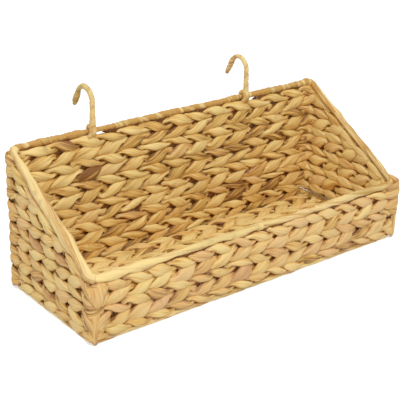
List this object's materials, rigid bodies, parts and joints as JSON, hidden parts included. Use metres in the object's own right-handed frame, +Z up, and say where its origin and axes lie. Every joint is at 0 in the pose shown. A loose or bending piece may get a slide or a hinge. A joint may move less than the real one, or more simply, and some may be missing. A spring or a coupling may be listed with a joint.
{
  "type": "hanging basket",
  "caption": "Rectangular hanging basket with a tall back, low front and sloping sides, twined from water hyacinth over a wire frame, with wrapped hooks that turn on the back rim.",
  "frame": {"origin": "middle of the underside, on the surface the basket rests on", "axes": "+X along the basket's length to the right as seen from the front, +Y towards the tall back with the hooks, +Z up"},
  "size_m": [0.42, 0.1828, 0.1998],
  "materials": {
    "twined_hyacinth": "matte",
    "wound_strip": "matte",
    "iron_wire": "satin"
  },
  "bodies": {
    "basket": {"wire_frame": "iron_wire", "floor_weave": "twined_hyacinth", "front_weave": "twined_hyacinth", "back_weave": "twined_hyacinth", "left_weave": "twined_hyacinth", "right_weave": "twined_hyacinth", "front_left_corner": "twined_hyacinth", "front_right_corner": "twined_hyacinth", "back_left_corner": "twined_hyacinth", "back_right_corner": "twined_hyacinth", "front_rim_binding": "wound_strip", "back_rim_binding": "wound_strip", "left_rim_binding": "wound_strip", "right_rim_binding": "wound_strip", "front_base_binding": "wound_strip", "back_base_binding": "wound_strip", "left_base_binding": "wound_strip", "right_base_binding": "wound_strip"},
    "left_hook": {"left_hook_wire": "iron_wire", "left_hook_wrap": "wound_strip"},
    "right_hook": {"right_hook_wire": "iron_wire", "right_hook_wrap": "wound_strip"}
  },
  "joints": [
    {"name": "left_hook_turn", "type": "hinge", "parent": "basket", "child": "left_hook", "pos_m": [-0.11091, 0.0718, 0.1528], "axis": [1, 0, 0], "range_deg": [-105, 95]},
    {"name": "right_hook_turn", "type": "hinge", "parent": "basket", "child": "right_hook", "pos_m": [0.0969, 0.0718, 0.1528], "axis": [1, 0, 0], "range_deg": [-105, 95]}
  ]
}
